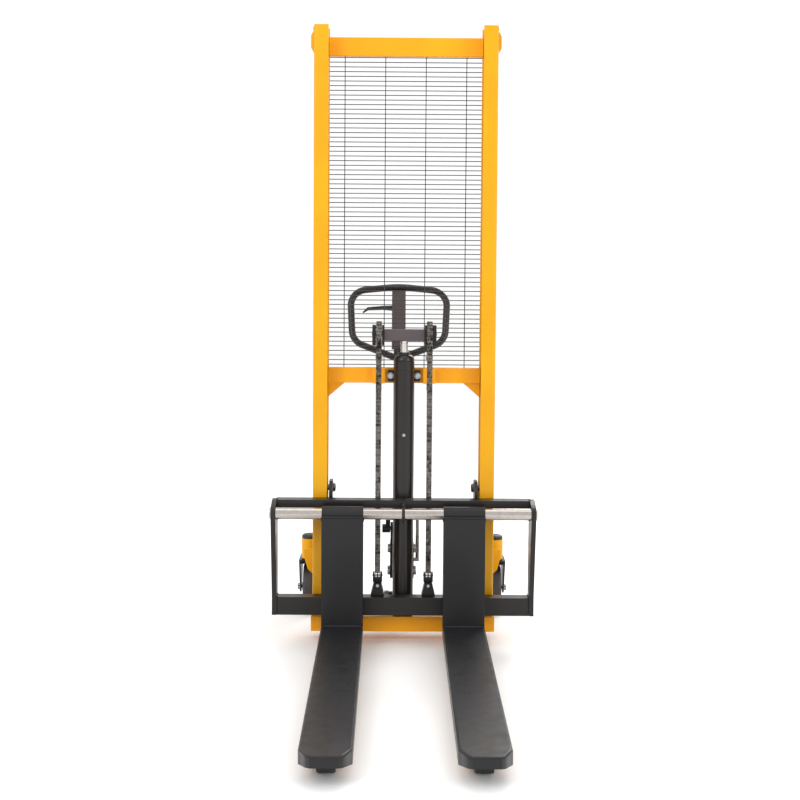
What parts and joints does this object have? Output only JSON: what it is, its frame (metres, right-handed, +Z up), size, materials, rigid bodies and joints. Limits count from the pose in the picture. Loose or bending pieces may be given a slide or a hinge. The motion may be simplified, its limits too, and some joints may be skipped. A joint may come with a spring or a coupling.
{
  "type": "walkie stacker",
  "caption": "Manual hydraulic pallet stacker: fixed yellow mast with wire guard, chain-lifted fork carriage on a chrome shaft, straddle legs, swivel casters and pump handle.",
  "frame": {"origin": "middle of the footprint's bounding box, on the floor", "axes": "+Z up, -Y towards the fork tips, +Y towards the handle, +X to the right seen from the fork side"},
  "size_m": [0.892, 1.785, 2.08],
  "materials": {
    "yellow_paint": "semi-gloss powder coat",
    "black_paint": "semi-gloss powder coat",
    "fork_paint": "satin powder coat",
    "plum_paint": "satin primer grey",
    "zinc": "zinc plated wire",
    "bright_steel": "bright zinc plated",
    "chrome": "hard chrome, ground",
    "chain_steel": "oiled dark steel",
    "black_nylon": "cast nylon"
  },
  "bodies": {
    "chassis": {"mast_upright_left": "yellow_paint", "mast_upright_right": "yellow_paint", "mast_top_beam": "yellow_paint", "mast_mid_beam": "yellow_paint", "mast_gussets": "yellow_paint", "base_beam": "yellow_paint", "base_leg_left": "yellow_paint", "base_leg_right": "yellow_paint", "front_axles": "bright_steel", "caster_arm_left": "yellow_paint", "caster_arm_right": "yellow_paint", "caster_caps": "black_nylon", "guard_mesh": "zinc", "lift_cylinder": "black_paint", "cylinder_gland": "black_paint", "cylinder_clamp": "black_paint", "clamp_bolts": "bright_steel", "bleed_screw": "bright_steel", "hydraulic_block": "black_paint", "pump_body": "black_paint", "pump_bolts": "bright_steel", "handle_pivot_pin": "bright_steel", "rear_chain_anchors": "bright_steel", "chain_rear": "chain_steel"},
    "ram": {"ram": "chrome", "crosshead": "plum_paint", "sheave_cheeks": "black_paint", "sheave_pins": "bright_steel", "chain_wraps": "chain_steel"},
    "sheave_left": {"sheave_left": "chain_steel"},
    "sheave_right": {"sheave_right": "chain_steel"},
    "carriage": {"carriage_top_beam": "black_paint", "carriage_lower_beam": "black_paint", "carriage_end_plates": "black_paint", "carriage_side_plates": "black_paint", "fork_shaft": "chrome", "roller_pins": "bright_steel", "front_chain_anchors": "black_paint", "chain_front": "chain_steel"},
    "fork_left": {"fork_left": "fork_paint"},
    "fork_right": {"fork_right": "fork_paint"},
    "front_roller_left": {"front_roller_left": "black_nylon"},
    "front_roller_right": {"front_roller_right": "black_nylon"},
    "caster_left": {"caster_fork_left": "black_paint"},
    "caster_right": {"caster_fork_right": "black_paint"},
    "caster_wheel_left": {"caster_wheel_left": "black_nylon"},
    "caster_wheel_right": {"caster_wheel_right": "black_nylon"},
    "brake_left": {"caster_brake_left": "black_paint"},
    "brake_right": {"caster_brake_right": "black_paint"},
    "handle": {"handle_arm": "black_paint", "handle_loop": "black_paint", "handle_plate": "plum_paint"},
    "release_lever": {"release_lever": "black_paint"},
    "release_rod": {"release_rod": "bright_steel"},
    "pump_plunger": {"pump_plunger": "bright_steel"},
    "foot_pedal": {"foot_pedal": "black_paint"},
    "mast_roller_lower_left": {"mast_roller_lower_left": "chain_steel"},
    "mast_roller_lower_right": {"mast_roller_lower_right": "chain_steel"},
    "mast_roller_upper_left": {"mast_roller_upper_left": "chain_steel"},
    "mast_roller_upper_right": {"mast_roller_upper_right": "chain_steel"}
  },
  "joints": [
    {"name": "ram_lift", "type": "slide", "parent": "chassis", "child": "ram", "axis": [0, 0, 1], "range_m": [0, 0.7575], "deforming": ["chain_rear"]},
    {"name": "carriage_lift", "type": "slide", "parent": "ram", "child": "carriage", "axis": [0, 0, 1], "range_m": [0, 0.7575], "deforming": ["chain_front"]},
    {"name": "sheave_left_spin", "type": "hinge", "parent": "ram", "child": "sheave_left", "pos_m": [-0.086, 0.4125, 1.05], "axis": [-1, 0, 0], "range_deg": [0, 1260]},
    {"name": "sheave_right_spin", "type": "hinge", "parent": "ram", "child": "sheave_right", "pos_m": [0.086, 0.4125, 1.05], "axis": [-1, 0, 0], "range_deg": [0, 1260]},
    {"name": "mast_roller_lower_left_spin", "type": "hinge", "parent": "carriage", "child": "mast_roller_lower_left", "pos_m": [-0.2795, 0.4275, 0.15], "axis": [1, 0, 0], "continuous": true},
    {"name": "mast_roller_lower_right_spin", "type": "hinge", "parent": "carriage", "child": "mast_roller_lower_right", "pos_m": [0.2795, 0.4275, 0.15], "axis": [1, 0, 0], "continuous": true},
    {"name": "mast_roller_upper_left_spin", "type": "hinge", "parent": "carriage", "child": "mast_roller_upper_left", "pos_m": [-0.2795, 0.4275, 0.52], "axis": [1, 0, 0], "continuous": true},
    {"name": "mast_roller_upper_right_spin", "type": "hinge", "parent": "carriage", "child": "mast_roller_upper_right", "pos_m": [0.2795, 0.4275, 0.52], "axis": [1, 0, 0], "continuous": true},
    {"name": "fork_left_shift", "type": "slide", "parent": "carriage", "child": "fork_left", "axis": [1, 0, 0], "range_m": [-0.026, 0.026]},
    {"name": "fork_right_shift", "type": "slide", "parent": "carriage", "child": "fork_right", "axis": [1, 0, 0], "range_m": [-0.026, 0.026]},
    {"name": "front_roller_left_spin", "type": "hinge", "parent": "chassis", "child": "front_roller_left", "pos_m": [-0.202, -0.7725, 0.037], "axis": [1, 0, 0], "continuous": true},
    {"name": "front_roller_right_spin", "type": "hinge", "parent": "chassis", "child": "front_roller_right", "pos_m": [0.202, -0.7725, 0.037], "axis": [1, 0, 0], "continuous": true},
    {"name": "caster_left_swivel", "type": "hinge", "parent": "chassis", "child": "caster_left", "pos_m": [-0.338, 0.7225, 0.2], "axis": [0, 0, 1], "continuous": true},
    {"name": "caster_wheel_left_spin", "type": "hinge", "parent": "caster_left", "child": "caster_wheel_left", "pos_m": [-0.338, 0.7675, 0.09], "axis": [1, 0, 0], "continuous": true},
    {"name": "brake_left_press", "type": "hinge", "parent": "caster_left", "child": "brake_left", "pos_m": [-0.338, 0.8525, 0.16], "axis": [-1, 0, 0], "range_deg": [0, 25]},
    {"name": "caster_right_swivel", "type": "hinge", "parent": "chassis", "child": "caster_right", "pos_m": [0.338, 0.7225, 0.2], "axis": [0, 0, 1], "continuous": true},
    {"name": "caster_wheel_right_spin", "type": "hinge", "parent": "caster_right", "child": "caster_wheel_right", "pos_m": [0.338, 0.7675, 0.09], "axis": [1, 0, 0], "continuous": true},
    {"name": "brake_right_press", "type": "hinge", "parent": "caster_right", "child": "brake_right", "pos_m": [0.338, 0.8525, 0.16], "axis": [-1, 0, 0], "range_deg": [0, 25]},
    {"name": "handle_pump", "type": "hinge", "parent": "chassis", "child": "handle", "pos_m": [-0.018, 0.5175, 0.36], "axis": [-1, 0, 0], "range_deg": [0, 60], "stiffness_Nm_per_rad": 24, "springref_deg": -42.97},
    {"name": "release_squeeze", "type": "hinge", "parent": "handle", "child": "release_lever", "pos_m": [-0.018, 0.76456, 1.12037], "axis": [0, -0.9511, 0.309], "range_deg": [0, 10], "stiffness_Nm_per_rad": 1, "springref_deg": -20.05},
    {"name": "release_rod_pull", "type": "slide", "parent": "chassis", "child": "release_rod", "axis": [0, 0, 1], "range_m": [0, 0.006]},
    {"name": "plunger_stroke", "type": "slide", "parent": "chassis", "child": "pump_plunger", "axis": [0, 0, -1], "range_m": [0, 0.04]},
    {"name": "pedal_press", "type": "hinge", "parent": "chassis", "child": "foot_pedal", "pos_m": [-0.056, 0.5275, 0.106], "axis": [-1, 0, 0], "range_deg": [0, 16], "stiffness_Nm_per_rad": 12, "springref_deg": -28.65}
  ],
  "couplings": [
    {"joint": "carriage_lift", "follows": "ram_lift", "ratio": 1},
    {"joint": "sheave_left_spin", "follows": "ram_lift", "rad_per_m": 28.571},
    {"joint": "sheave_right_spin", "follows": "ram_lift", "rad_per_m": 28.571},
    {"joint": "plunger_stroke", "follows": "handle_pump", "m_per_rad": 0.035},
    {"joint": "release_rod_pull", "follows": "release_squeeze", "m_per_rad": 0.034}
  ]
}
